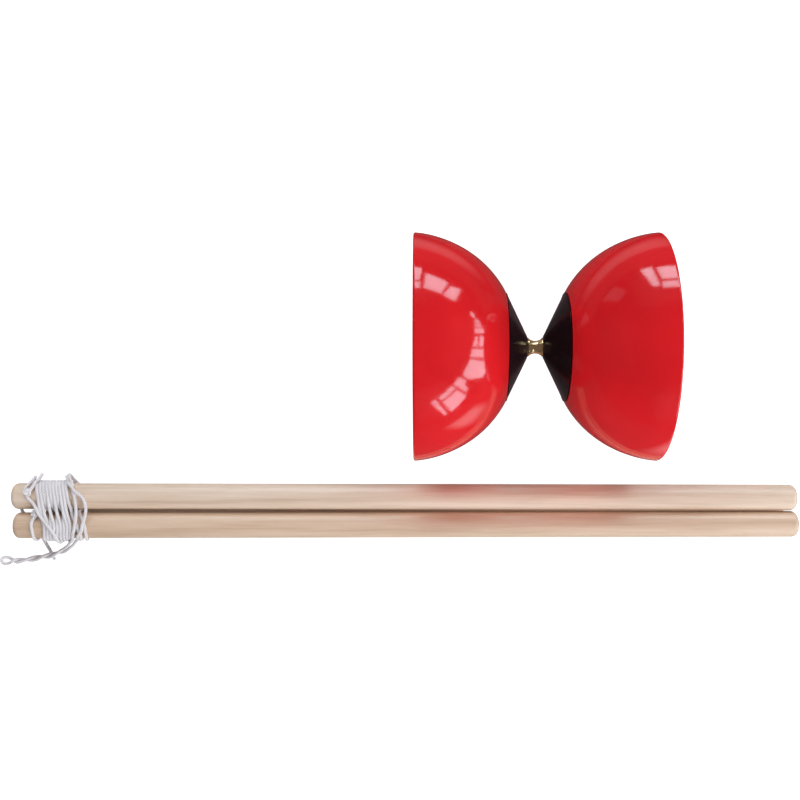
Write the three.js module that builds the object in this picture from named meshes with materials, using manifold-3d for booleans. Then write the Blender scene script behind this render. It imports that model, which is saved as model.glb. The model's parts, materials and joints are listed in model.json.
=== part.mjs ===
// Diabolo (Chinese yo-yo) lying beside its two hand sticks, with the string wound round the sticks.
// Millimetres. +X runs along the sticks and the axle, +Z is up, and Z = 0 is the surface it lies on.
// The origin is the centre of the base of the box round the spool and the sticks.
import * as THREE from 'three';
import { mergeVertices } from 'three/addons/utils/BufferGeometryUtils.js';
import Module from 'manifold-3d';

const wasm = await Module();
wasm.setup();

// ---- driving dimensions ----
const GAP = 0.3;                       // clearance between pieces that bear on each other

const SPOOL_X = 48.75;                 // centre of the spool in plan
const SPOOL_Y = 16.5;
const RIM_RADIUS = 42.5;               // the cups are 85 mm across
const RIM_X = 45.5;                    // half of the 91 mm over both rims
const CUP_WALL = 2;
const CUP_FLOOR = 1.9;
const CUP_BASE_RADIUS = 20.9;          // where the bowl meets the hub
const CUP_BASE_SLOPE = 1.86;           // radius gained per mm along the axle, at the base
const CUP_BASE_PULL = 9.8;             // how far the curve holds the slope of its base
const CUP_RIM_PULL = 5;                // and the level run at its rim
const LIP_ROUND = 0.6;
const CUP_SIDES = 60;

const BUSH_HALF = 2.45;                // brass bush at the waist
const BUSH_LIP_RADIUS = 3.5;
const BUSH_LIP_WIDTH = 0.35;
const BUSH_GROOVE_RADIUS = 3.2;        // groove where it meets the lips
const BUSH_NECK_RADIUS = 2.4;          // and at its middle, where the string runs
const BOLT_RADIUS = 1.5;               // M3
const BOLT_HOLE_RADIUS = 1.8;

const HUB_NOSE_RADIUS = 3.6;
const HUB_NOSE_X = BUSH_HALF + GAP;
const HUB_BACK_RADIUS = 20.4;
const HUB_BACK_X = 11;
const HUB_BOSS_RADIUS = 6;             // boss that centres the cup
const CUP_BASE_X = HUB_BACK_X + GAP;
const CUP_FLOOR_X = CUP_BASE_X + CUP_FLOOR;
const DISC_X = CUP_FLOOR_X + GAP;
const DISC_THICKNESS = 1.5;
const DISC_RADIUS = 13;
const WASHER_X = DISC_X + DISC_THICKNESS + GAP;
const WASHER_THICKNESS = 0.5;
const WASHER_RADIUS = 3.5;
const NUT_X = WASHER_X + WASHER_THICKNESS + GAP;
const HEX_ACROSS_FLATS = 5.5;
const BOLT_HEAD_HEIGHT = 2;
const NUT_HEIGHT = 2.4;
const BOLT_END_X = 20.5;

const STICK_RADIUS = 5.25;             // 10.5 mm dowel, 319 mm long
const STICK_HALF = 159.6;
const STICK_ROUND = 2.2;
const STICK_SHIFT = 0.32;              // the sticks lie 0.64 mm out of line end to end
const STICK_HOLE_RADIUS = 1.5;
const STICK_HOLE_INSET = 7.25;         // from the left end

const STRING_RADIUS = 0.65;            // braided string, 1.3 mm
const TAIL_RADIUS = 2 * STRING_RADIUS; // the tail is two strands twisted together
const WINDING_LAYERS = 2;
const WINDING_INSIDE = STICK_RADIUS + GAP;
const WINDING_OUTSIDE = STICK_RADIUS + 0.2 + 2 * STRING_RADIUS * WINDING_LAYERS;
const WINDING_X = -142.55;             // centre of the winding in line with the rear stick
const WINDING_WIDTH = 11.2;
const WINDING_LEAN = 0.22;             // mm to the right for each mm towards the front
const STICK_LIFT = WINDING_OUTSIDE - STICK_RADIUS + 0.1;   // the winding holds the left ends up
const KNOT_RADIUS = 1.1;

// ---- materials ----
const red = new THREE.MeshStandardMaterial({ color: 0xd3161d, roughness: 0.22, metalness: 0 });
const black = new THREE.MeshStandardMaterial({ color: 0x1c1113, roughness: 0.3, metalness: 0 });
const brass = new THREE.MeshStandardMaterial({ color: 0xc79a4b, roughness: 0.25, metalness: 1 });
const steel = new THREE.MeshStandardMaterial({ color: 0xb4b6b8, roughness: 0.35, metalness: 1 });
const wood = new THREE.MeshStandardMaterial({ color: 0xd9c0a2, roughness: 0.6, metalness: 0 });
const cotton = new THREE.MeshStandardMaterial({ color: 0xeeebf0, roughness: 0.9, metalness: 0 });

// ---- shape helpers ----
const at = (x, y) => new THREE.Vector2(x, y);

// Points of a quarter round from one tangent direction to the next, ends included.
function roundedCorner(centre, radius, fromDegrees, toDegrees, steps = 4) {
  return Array.from({ length: steps + 1 }, (_, i) => {
    const angle = THREE.MathUtils.degToRad(fromDegrees + (toDegrees - fromDegrees) * i / steps);
    return at(centre.x + radius * Math.cos(angle), centre.y + radius * Math.sin(angle));
  });
}

// Turns a profile about the X axis. Each point is (distance along X, radius), outer side first.
function turned(profile, sides) {
  const points = profile.map((p) => at(p.y, p.x));
  const flatSideDown = Math.PI / sides;
  return new THREE.LatheGeometry(points, sides, flatSideDown).rotateZ(-Math.PI / 2);
}

// Closes an outer profile with a bore of the given radius.
function bored(outer, radius) {
  const first = outer[0];
  const last = outer[outer.length - 1];
  return [at(first.x, radius), ...outer, at(last.x, radius), at(first.x, radius)];
}

function solidOf(geometry) {
  const bare = geometry.clone();
  bare.deleteAttribute('normal');
  bare.deleteAttribute('uv');
  const merged = mergeVertices(bare);
  const corners = merged.index.array;
  const triVerts = [];
  for (let i = 0; i < corners.length; i += 3) {
    const [a, b, c] = corners.slice(i, i + 3);
    if (a !== b && b !== c && c !== a) triVerts.push(a, b, c);
  }
  const vertProperties = merged.attributes.position.array;
  const mesh = new wasm.Mesh({ numProp: 3, vertProperties, triVerts: Uint32Array.from(triVerts) });
  return new wasm.Manifold(mesh);
}

function geometryOf(solid) {
  const { vertProperties, triVerts } = solid.getMesh();
  const geometry = new THREE.BufferGeometry();
  geometry.setAttribute('position', new THREE.BufferAttribute(vertProperties, 3));
  geometry.setIndex(new THREE.BufferAttribute(triVerts, 1));
  return geometry;
}

// A round string along a smooth curve through the points.
function stringAlong(points, radius = STRING_RADIUS, steps = 2 * points.length) {
  const curve = new THREE.CatmullRomCurve3(points.map((p) => new THREE.Vector3(...p)));
  const sides = 8;
  const section = new THREE.Shape(Array.from({ length: sides }, (_, i) => {
    const angle = 2 * Math.PI * i / sides;
    return at(radius * Math.cos(angle), radius * Math.sin(angle));
  }));
  return new THREE.ExtrudeGeometry(section, { steps, extrudePath: curve, bevelEnabled: false });
}

function named(name, geometry, material) {
  const mesh = new THREE.Mesh(geometry, material);
  mesh.name = name;
  return mesh;
}

// ---- the spool: every piece is drawn for the right side, with +X outwards ----
function cupCurve() {
  return new THREE.CubicBezierCurve(
    at(CUP_BASE_X, CUP_BASE_RADIUS),
    at(CUP_BASE_X + CUP_BASE_PULL, CUP_BASE_RADIUS + CUP_BASE_PULL * CUP_BASE_SLOPE),
    at(RIM_X - CUP_RIM_PULL, RIM_RADIUS),
    at(RIM_X, RIM_RADIUS),
  );
}

function cup() {
  const curve = cupCurve();
  const steps = 12;
  const outside = [];
  const inside = [];
  for (let i = 0; i < steps; i += 1) {
    const t = i / steps;
    const point = curve.getPoint(t);
    const along = curve.getTangent(t);
    outside.push(point);
    if (i > 0) inside.unshift(at(point.x + CUP_WALL * along.y, point.y - CUP_WALL * along.x));
  }
  const lipX = RIM_X - LIP_ROUND;
  const lip = [
    ...roundedCorner(at(lipX, RIM_RADIUS - LIP_ROUND), LIP_ROUND, 90, 0, 3),
    ...roundedCorner(at(lipX, RIM_RADIUS - CUP_WALL + LIP_ROUND), LIP_ROUND, 0, -90, 3),
  ];
  const hole = HUB_BOSS_RADIUS + GAP;
  const floorCorner = CUP_BASE_RADIUS - 3;
  const profile = [
    at(CUP_BASE_X, hole), ...outside, ...lip, ...inside,
    at(CUP_FLOOR_X, floorCorner), at(CUP_FLOOR_X, hole), at(CUP_BASE_X, hole),
  ];
  return turned(profile, CUP_SIDES);
}

function hub() {
  const outer = [
    at(HUB_NOSE_X, HUB_NOSE_RADIUS),
    at(HUB_BACK_X, HUB_BACK_RADIUS),
    at(HUB_BACK_X, HUB_BOSS_RADIUS),
    at(CUP_FLOOR_X, HUB_BOSS_RADIUS),
  ];
  return turned(bored(outer, BOLT_HOLE_RADIUS), CUP_SIDES);
}

function disc(start, thickness, radius) {
  const outer = [at(start, radius), at(start + thickness, radius)];
  return turned(bored(outer, BOLT_HOLE_RADIUS), 36);
}

function axleBush() {
  const grooveEnd = BUSH_HALF - BUSH_LIP_WIDTH;
  const steps = 8;
  const groove = Array.from({ length: steps + 1 }, (_, i) => {
    const share = 2 * i / steps - 1;
    const radius = BUSH_NECK_RADIUS + (BUSH_GROOVE_RADIUS - BUSH_NECK_RADIUS) * share ** 2;
    return at(share * grooveEnd, radius);
  });
  const outer = [
    at(-BUSH_HALF, BUSH_LIP_RADIUS), at(-grooveEnd, BUSH_LIP_RADIUS), ...groove,
    at(grooveEnd, BUSH_LIP_RADIUS), at(BUSH_HALF, BUSH_LIP_RADIUS),
  ];
  return turned(bored(outer, BOLT_HOLE_RADIUS), 36);
}

function hexBlock(start, height) {
  const across = HEX_ACROSS_FLATS / Math.sqrt(3);
  return turned([at(start, 0), at(start, across), at(start + height, across), at(start + height, 0)], 6);
}

function throughBolt() {
  const shank = turned([
    at(-NUT_X - 0.1, 0), at(-NUT_X - 0.1, BOLT_RADIUS), at(BOLT_END_X, BOLT_RADIUS), at(BOLT_END_X, 0),
  ], 24);
  const head = hexBlock(-NUT_X - BOLT_HEAD_HEIGHT, BOLT_HEAD_HEIGHT);
  return geometryOf(solidOf(head).add(solidOf(shank)));
}

function boltNut() {
  const hole = turned([
    at(NUT_X - 1, 0), at(NUT_X - 1, BOLT_HOLE_RADIUS),
    at(BOLT_END_X, BOLT_HOLE_RADIUS), at(BOLT_END_X, 0),
  ], 24);
  return geometryOf(solidOf(hexBlock(NUT_X, NUT_HEIGHT)).subtract(solidOf(hole)));
}

function spool() {
  const group = new THREE.Group();
  group.position.set(SPOOL_X, SPOOL_Y, RIM_RADIUS);
  for (const [side, turn] of [['left', Math.PI], ['right', 0]]) {
    const half = new THREE.Group();
    half.rotation.y = turn;
    half.add(
      named(`${side}_cup`, cup(), red),
      named(`${side}_hub`, hub(), black),
      named(`${side}_clamp_disc`, disc(DISC_X, DISC_THICKNESS, DISC_RADIUS), black),
      named(`${side}_washer`, disc(WASHER_X, WASHER_THICKNESS, WASHER_RADIUS), steel),
    );
    group.add(half);
  }
  group.add(
    named('axle_spool', axleBush(), brass),
    named('axle_bolt', throughBolt(), steel),
    named('axle_nut', boltNut(), steel),
  );
  return group;
}

// ---- the sticks: the right ends rest on the surface and the left ends on the winding ----
const pitch = Math.asin(STICK_LIFT / (STICK_HALF - STICK_ROUND - WINDING_X));
const stickCentreZ = STICK_RADIUS * Math.cos(pitch) + (STICK_HALF - STICK_ROUND) * Math.sin(pitch);
const rear = { name: 'rear_stick', x: -STICK_SHIFT, leftY: -42.25, rightY: -43.12, holeTilt: 22 };
const front = { name: 'front_stick', x: STICK_SHIFT, leftY: -54.2, rightY: -53.95, holeTilt: 30 };
const stickHeight = (x) => stickCentreZ - x * Math.sin(pitch);

function stick({ name, x, leftY, rightY, holeTilt }) {
  const shoulder = STICK_HALF - STICK_ROUND;
  const edge = STICK_RADIUS - STICK_ROUND;
  const rod = turned([
    at(-STICK_HALF, 0),
    ...roundedCorner(at(-shoulder, edge), STICK_ROUND, 180, 90),
    ...roundedCorner(at(shoulder, edge), STICK_ROUND, 90, 0),
    at(STICK_HALF, 0),
  ], 40);
  const drill = new THREE.CylinderGeometry(STICK_HOLE_RADIUS, STICK_HOLE_RADIUS, 3 * STICK_RADIUS, 24);
  drill.rotateX(Math.PI / 2 - THREE.MathUtils.degToRad(holeTilt));
  drill.translate(STICK_HOLE_INSET - STICK_HALF, 0, 0);
  const mesh = named(name, geometryOf(solidOf(rod).subtract(solidOf(drill))), wood);
  mesh.position.set(x, (leftY + rightY) / 2, stickCentreZ);
  mesh.rotation.set(0, pitch, Math.atan2(rightY - leftY, 2 * STICK_HALF));
  return mesh;
}

// ---- the string ----
// A point beside a stick near its left end: how far round from the top (towards the rear is
// positive) and how far from the stick's centre line.
function aroundStick(owner, x, degrees, radius) {
  const angle = THREE.MathUtils.degToRad(degrees);
  return [x, owner.leftY + radius * Math.sin(angle), stickHeight(x) + radius * Math.cos(angle)];
}

// Two half rounds joined by straights, about both sticks.
function stadium(radius, reverse = false) {
  const arc = (y, from) => roundedCorner(at(0, y), radius, from, from + 180, 12);
  const points = [...arc(rear.leftY, 0), ...arc(front.leftY, 180)].map((p) => at(p.x, p.y));
  return reverse ? points.reverse() : points;
}

function winding() {
  const outline = new THREE.Shape(stadium(WINDING_OUTSIDE));
  outline.holes.push(new THREE.Path(stadium(WINDING_INSIDE, true)));
  const ring = new THREE.ExtrudeGeometry(outline, { depth: WINDING_WIDTH, bevelEnabled: false });
  ring.translate(0, 0, -WINDING_WIDTH / 2);
  ring.rotateY(Math.PI / 2);
  const lean = new THREE.Matrix4().makeShear(0, 0, -WINDING_LEAN, 0, 0, 0);
  ring.translate(0, -rear.leftY, 0).applyMatrix4(lean).translate(0, rear.leftY, 0);
  const mesh = named('string_winding', ring, cotton);
  mesh.position.set(WINDING_X, 0, stickHeight(WINDING_X));
  return mesh;
}

function string() {
  const onTable = STRING_RADIUS + 0.1;
  const snug = STICK_RADIUS + STRING_RADIUS + 0.4;
  const leftLoop = [
    aroundStick(rear, -150.55, -42, snug + 0.3), aroundStick(rear, -151.85, -16, snug + 0.3),
    aroundStick(rear, -153.75, 3, snug + 0.3), aroundStick(rear, -155.25, 22, snug),
    aroundStick(rear, -153.95, 46, snug), aroundStick(rear, -152.75, 72, snug + 0.4),
    [-152.85, -34.4, 5], [-155.25, -35.4, 2], [-157.45, -37.5, onTable],
  ];
  const rightLoop = [
    [-131.55, -61.6, 4.2], aroundStick(front, -130.85, -50, snug), aroundStick(front, -130.05, -15, snug),
    [-129.45, -48.3, stickHeight(-129.65) + snug], aroundStick(rear, -130.45, -12, snug),
    aroundStick(rear, -133.05, 14, snug), aroundStick(rear, -135.25, 45, snug + 0.4),
    [-136.25, -33.6, 9], [-136.25, -33.2, 4.4], [-135.95, -34.4, 1.6], [-135.25, -37, 0.95],
    [-133.25, -43, onTable], [-131.05, -51, onTable], [-129.65, -58.5, onTable],
  ];
  const tail = [
    [-137.65, -63.45, 6.2], [-139.05, -64.9, 4], [-143.25, -66, 3.2], [-147.65, -67.4, 3.1],
    [-152.85, -68.6, TAIL_RADIUS + 0.1], [-157.65, -69.4, TAIL_RADIUS + 0.1],
    [-162.05, -69.8, TAIL_RADIUS + 0.1],
  ];
  const tailLoop = [
    [-162.75, -68.9, onTable], [-165.05, -67.9, onTable], [-167.65, -68.3, onTable],
    [-168.75, -69.7, onTable], [-167.65, -71.2, onTable], [-165.05, -71.6, onTable],
    [-162.75, -70.8, onTable],
  ];
  const rearEnd = [
    aroundStick(rear, -151.15, 56, snug + 0.2), [-150.95, -34.35, 9.4], [-149.05, -32.7, 7.6],
  ];
  const frontTie = [25, 0, -30, -60, -90, -120, -148].map(
    (degrees, i) => aroundStick(front, -152.25 + 0.3 * i, degrees, snug),
  );
  const frontEnd = [[-152.15, -58, onTable], [-151.15, -60.3, onTable], [-145.85, -69.3, onTable]];
  const knot = (name, x, y, owner) => {
    const away = Math.sqrt((STICK_RADIUS + GAP + KNOT_RADIUS) ** 2 - (y - owner.leftY) ** 2);
    const mesh = named(name, new THREE.SphereGeometry(KNOT_RADIUS, 16, 10), cotton);
    mesh.position.set(x, y, stickHeight(x) + away);
    return mesh;
  };
  const group = new THREE.Group();
  group.add(
    winding(),
    named('string_left_loop', stringAlong(leftLoop), cotton),
    named('string_right_loop', stringAlong(rightLoop), cotton),
    named('string_tail', stringAlong(tail, TAIL_RADIUS, 12), cotton),
    named('string_tail_loop', stringAlong(tailLoop, STRING_RADIUS, 12), cotton),
    named('string_rear_end', stringAlong(rearEnd), cotton),
    named('string_front_tie', stringAlong(frontTie, STRING_RADIUS, 12), cotton),
    named('string_front_end', stringAlong(frontEnd), cotton),
    knot('string_rear_knot', -152.25, -40.2, rear),
    knot('string_front_knot', -150.95, -49.6, front),
  );
  return group;
}

const diabolo = new THREE.Group();
diabolo.add(spool(), stick(rear), stick(front), string());

export default diabolo;
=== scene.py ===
"""A diabolo (Chinese yo-yo) lying beside its two hand sticks and their string, seen from straight above."""
import json
import math

import bpy
import numpy as np
from mathutils import Matrix, Vector
from mathutils.kdtree import KDTree


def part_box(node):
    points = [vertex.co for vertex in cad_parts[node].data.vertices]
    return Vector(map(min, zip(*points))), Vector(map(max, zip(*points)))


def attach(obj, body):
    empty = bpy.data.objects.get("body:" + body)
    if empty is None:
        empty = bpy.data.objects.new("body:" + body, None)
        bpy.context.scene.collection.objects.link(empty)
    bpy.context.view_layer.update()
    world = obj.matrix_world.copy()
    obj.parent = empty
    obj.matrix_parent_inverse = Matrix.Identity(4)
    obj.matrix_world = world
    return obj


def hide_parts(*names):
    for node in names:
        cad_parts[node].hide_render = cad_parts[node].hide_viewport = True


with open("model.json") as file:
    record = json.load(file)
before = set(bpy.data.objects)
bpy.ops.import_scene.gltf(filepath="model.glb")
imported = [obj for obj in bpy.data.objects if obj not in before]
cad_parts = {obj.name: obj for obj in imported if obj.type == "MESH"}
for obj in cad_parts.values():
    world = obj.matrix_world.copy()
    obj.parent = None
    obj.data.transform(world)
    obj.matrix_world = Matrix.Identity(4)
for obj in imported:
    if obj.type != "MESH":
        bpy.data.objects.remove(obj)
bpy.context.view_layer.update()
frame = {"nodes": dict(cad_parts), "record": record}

MM = 0.001  # sizes and points are in millimetres unless they say otherwise, and times MM they are metres

# ---- sizes of the pieces: the CAD's, with finer rounding and a thread on the bolt ----
SPOOL = sum(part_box("axle_spool"), Vector()) / 2  # the middle of the waist, in metres
RIM_RADIUS = 42.5
RIM_X = 45.5
CUP_WALL = 2
CUP_FLOOR = 1.9
CUP_BASE_RADIUS = 20.9  # where the bowl meets the hub
CUP_BASE_SLOPE = 1.86  # radius gained for each mm along the axle, at the base
CUP_BASE_PULL = 9.8  # how far the curve holds the slope of its base
CUP_RIM_PULL = 5  # and the level run at its rim
LIP_ROUND = 0.8  # the lip is rounder than the CAD's
CUP_HOLE = 6.3
CUP_BASE_X = 11.3
CUP_FLOOR_X = CUP_BASE_X + CUP_FLOOR
GAP = 0.3  # between pieces that bear on each other
HUB_NOSE_X = 2.75
HUB_NOSE_RADIUS = 3.6
HUB_BACK_X = 11
HUB_BACK_RADIUS = 20.4
HUB_BOSS_RADIUS = 6
BUSH_HALF = 2.72  # the bush reaches the hubs, where the CAD leaves a gap
BUSH_LIP_RADIUS = 3.5
BUSH_LIP_WIDTH = 0.4
BUSH_GROOVE_RADIUS = 3.2
BUSH_NECK_RADIUS = 2.4
BOLT_RADIUS = 1.5
BOLT_HOLE = 1.8
THREAD_PITCH = 0.5
THREAD_DEPTH = 0.28
THREAD_START_X = 8
BOLT_TAPER = 0.5  # the last part of the bolt that tapers
DISC_X = CUP_FLOOR_X + GAP
DISC_THICKNESS = 1.5
DISC_RADIUS = 13
WASHER_X = DISC_X + DISC_THICKNESS + GAP
WASHER_THICKNESS = 0.5
WASHER_RADIUS = 3.5
NUT_X = WASHER_X + WASHER_THICKNESS + GAP
NUT_HEIGHT = 2.4
BOLT_HEAD_HEIGHT = 2.0
BOLT_HEAD_SOCKET = 0.9
HEX_ACROSS_FLATS = 5.5
HEX_CHAMFER = 0.35
BOLT_END_X = 20.5
SMALL_ROUND = 0.12  # on the corners of the bush and the washers

STICK_RADIUS = 5.25
STICK_HALF = 159.6
STICK_ROUND = 2.2
STICK_HOLE_RADIUS = 1.5
STICK_HOLE_INSET = 7.25
STICK_CENTRE_Z = 6.7716
STICK_FALL = 0.0096684  # the sticks slope down to the right, in radians
REAR = {"x": -0.32, "left": -42.25, "right": -43.12, "tilt": 22}
FRONT = {"x": 0.32, "left": -54.2, "right": -53.95, "tilt": 30}

STRING_RADIUS = 0.65
STRING_WIDTH = 2 * STRING_RADIUS
ON_STICK = STICK_RADIUS + STRING_RADIUS  # from a stick's centre line to that of a string lying on it
STRING_STEP = 0.4  # between two points of the settled string
SETTLING_LAPS = 90
NEAR_HOLE = 1.2  # this near a hole's axis the string may pass through the stick
TIGHTEST_BEND = 1.5  # bends with a smaller radius than this are eased while the string settles

# ---- the camera, straight above ----
CAMERA = (7.05, -5.15, 431.8)
camera_data = bpy.data.cameras.new("camera")
camera_data.lens = 46.75
camera_data.sensor_width = 36
camera_data.shift_x = -0.0296
camera_data.shift_y = 0.00625
camera = bpy.data.objects.new("camera", camera_data)
camera.location = Vector(CAMERA) * MM
bpy.context.scene.collection.objects.link(camera)
bpy.context.scene.camera = camera
bpy.context.scene.view_settings.view_transform = "Standard"


# ---- mesh helpers ----
def mesh_object(name, points, faces, uvs=None):
    """A smooth-shaded object from points in millimetres. uvs holds one pair for each corner."""
    mesh = bpy.data.meshes.new(name)
    mesh.from_pydata((np.asarray(points, float) * MM).tolist(), [], faces)
    if uvs is not None:
        layer = mesh.uv_layers.new(name="UVMap")
        layer.data.foreach_set("uv", np.asarray(uvs, np.float32).ravel())
    mesh.polygons.foreach_set("use_smooth", [True] * len(mesh.polygons))
    mesh.update()
    made = bpy.data.objects.new(name, mesh)
    bpy.context.scene.collection.objects.link(made)
    return made


def tube_faces(rows, sides, closed=False):
    """The faces between rows of points. A closed tube joins its last row to its first."""
    faces = []
    for i in range(rows if closed else rows - 1):
        n = (i + 1) % rows
        for k in range(sides):
            m = (k + 1) % sides
            faces.append((i * sides + k, i * sides + m, n * sides + m, n * sides + k))
    return faces


def ring_of_points(x, radius, sides):
    """A circle about the X axis. radius is a number, or a function of the angle."""
    points = []
    for k in range(sides):
        angle = 2 * math.pi * k / sides
        size = radius(angle) if callable(radius) else radius
        points.append((x, size * math.sin(angle), size * math.cos(angle)))
    return points


def arc(x, radius, size, start, end, steps=6):
    """Points of a rounded corner of a turned profile, about (x, radius)."""
    angles = np.radians(np.linspace(start, end, steps + 1))
    return [(x + size * math.cos(a), radius + size * math.sin(a)) for a in angles]


def turned(name, profile, sides=192):
    """A solid of revolution about the X axis. A profile is a list of (x, radius) which closes on itself,
    or which starts and ends on the axis."""
    profile = [p for i, p in enumerate(profile) if i == 0 or math.dist(p, profile[i - 1]) > 1e-4]
    on_axis = profile[0][1] < 1e-6
    if not on_axis and math.dist(profile[0], profile[-1]) < 1e-4:
        profile = profile[:-1]
    points = []
    rings = []
    for x, radius in profile:
        if radius < 1e-6:
            rings.append([len(points)] * sides)
            points.append((x, 0, 0))
            continue
        rings.append(list(range(len(points), len(points) + sides)))
        points += ring_of_points(x, radius, sides)
    pairs = list(zip(rings, rings[1:])) + ([] if on_axis else [(rings[-1], rings[0])])
    faces = []
    for a, b in pairs:
        for k in range(sides):
            n = (k + 1) % sides
            faces.append(list(dict.fromkeys([a[k], a[n], b[n], b[k]])))
    return mesh_object(name, points, faces)


def place_on_axle(piece, flip):
    """Puts a piece drawn on the origin, with +X outwards, on the spool."""
    turn = Matrix.Rotation(math.pi, 4, "Z") if flip else Matrix.Identity(4)
    piece.data.transform(Matrix.Translation(SPOOL) @ turn)
    return piece


def sharpen(piece, degrees=35):
    """Keeps edges sharper than this angle crisp."""
    piece.data.set_sharp_from_angle(angle=math.radians(degrees))
    return piece


def finished(piece, material, body, slot, *nodes):
    """Gives a piece its material and body, and hides the CAD nodes that it replaces. slot is not used."""
    piece.data.materials.clear()
    piece.data.materials.append(material)
    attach(piece, body)
    if nodes:
        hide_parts(*nodes)
    return piece


# ---- material helpers ----
class Paint:
    """A procedural material while it is built. Sockets that stay the same all over are given at the start."""

    def __init__(self, name, **fixed):
        self.material = bpy.data.materials.new(name)
        self.material.use_nodes = True
        self.tree = self.material.node_tree
        self.shader = self.tree.nodes["Principled BSDF"]
        for key, value in fixed.items():
            self.shader.inputs[key.replace("_", " ")].default_value = value

    def node(self, kind, inputs=None, **settings):
        """Adds a node. An input is a number, or another node's output to link."""
        made = self.tree.nodes.new("ShaderNode" + kind)
        for key, value in settings.items():
            setattr(made, key, value)
        for key, value in (inputs or {}).items():
            if isinstance(value, bpy.types.NodeSocket):
                self.tree.links.new(value, made.inputs[key])
            else:
                made.inputs[key].default_value = value
        return made.outputs

    def math(self, operation, a, b=0.0):
        return self.node("Math", {0: a, 1: b}, operation=operation)[0]

    def place(self, scale=(1, 1, 1), rotation=(0, 0, 0)):
        """Points on the object in metres, stretched."""
        where = self.node("TexCoord")["Object"]
        return self.node("Mapping", {"Vector": where, "Scale": scale, "Rotation": rotation})[0]

    def noise(self, where, scale, detail=3.0, roughness=0.5):
        keys = {"Vector": where, "Scale": scale, "Detail": detail, "Roughness": roughness}
        return self.node("TexNoise", keys)[0]

    def ramp(self, factor, *stops):
        made = self.tree.nodes.new("ShaderNodeValToRGB")
        while len(made.color_ramp.elements) < len(stops):
            made.color_ramp.elements.new(0.5)
        for element, (position, colour) in zip(made.color_ramp.elements, stops):
            element.position = position
            element.color = (*colour, 1)
        self.tree.links.new(factor, made.inputs[0])
        return made.outputs[0]

    def spread(self, factor, low, high, start=0.3, end=0.7):
        """Takes start..end to low..high, and holds it there beyond them."""
        keys = {"Value": factor, "From Min": start, "From Max": end, "To Min": low, "To Max": high}
        return self.node("MapRange", keys)[0]

    def bump(self, height, distance, strength=1.0, normal=None):
        keys = {"Height": height, "Distance": distance, "Strength": strength}
        if normal is not None:
            keys["Normal"] = normal
        return self.node("Bump", keys)[0]

    def use(self, **links):
        for key, value in links.items():
            self.tree.links.new(value, self.shader.inputs[key.replace("_", " ")])
        return self.material


def red_plastic():
    """Glossy moulded plastic with a faint unevenness in its colour and its polish."""
    paint = Paint("cup_red", IOR=1.5)
    where = paint.place()
    cloud = paint.noise(where, 38, 4)
    fine = paint.noise(where, 900, 2)
    colour = paint.ramp(cloud, (0.3, (0.63, 0.0125, 0.0165)), (0.7, (0.73, 0.0150, 0.0200)))
    polish = paint.spread(fine, 0.08, 0.13)
    wave = paint.bump(paint.noise(where, 70, 2), 0.00004, 0.6)
    skin = paint.bump(paint.noise(where, 2600, 2), 0.000003, 0.5, wave)
    return paint.use(Base_Color=colour, Roughness=polish, Normal=skin)


def black_plastic():
    """Near-black glossy plastic of a faintly brown cast, with flow marks that ring the axle."""
    sheen = {"Sheen_Weight": 0.14, "Sheen_Roughness": 0.22, "Sheen_Tint": (0.95, 0.25, 0.42, 1)}
    paint = Paint("hub_black", IOR=1.38, **sheen)
    where = paint.place()
    cloud = paint.noise(where, 90, 4)
    colour = paint.ramp(cloud, (0.3, (0.0115, 0.0046, 0.0054)), (0.7, (0.0160, 0.0066, 0.0080)))
    polish = paint.spread(paint.noise(where, 1500, 2), 0.14, 0.24)
    rings = paint.noise(paint.place((1, 0.04, 0.04)), 1800, 2)
    skin = paint.bump(rings, 0.00001, 0.5)
    return paint.use(Base_Color=colour, Roughness=polish, Normal=skin)


def brass():
    """Turned brass, with the fine rings that the lathe leaves."""
    paint = Paint("brass", Metallic=0.78)
    where = paint.place()
    colour = paint.ramp(paint.noise(where, 420, 4), (0.3, (0.90, 0.54, 0.25)), (0.7, (1.0, 0.64, 0.33)))
    polish = paint.spread(paint.noise(where, 1400, 3), 0.10, 0.18)
    rings = paint.noise(paint.place((1, 0.01, 0.01)), 9000, 2)
    return paint.use(Base_Color=colour, Roughness=polish, Normal=paint.bump(rings, 0.000012, 0.6))


def zinc_steel():
    """Zinc-plated steel: faint blotches and a soft gloss."""
    paint = Paint("zinc_steel", Metallic=1.0)
    where = paint.place()
    colour = paint.ramp(paint.noise(where, 500, 5), (0.3, (0.46, 0.47, 0.49)), (0.7, (0.62, 0.63, 0.64)))
    polish = paint.spread(paint.noise(where, 1900, 3), 0.24, 0.42)
    skin = paint.bump(paint.noise(where, 4000, 2), 0.00001, 0.5)
    return paint.use(Base_Color=colour, Roughness=polish, Normal=skin)


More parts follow.
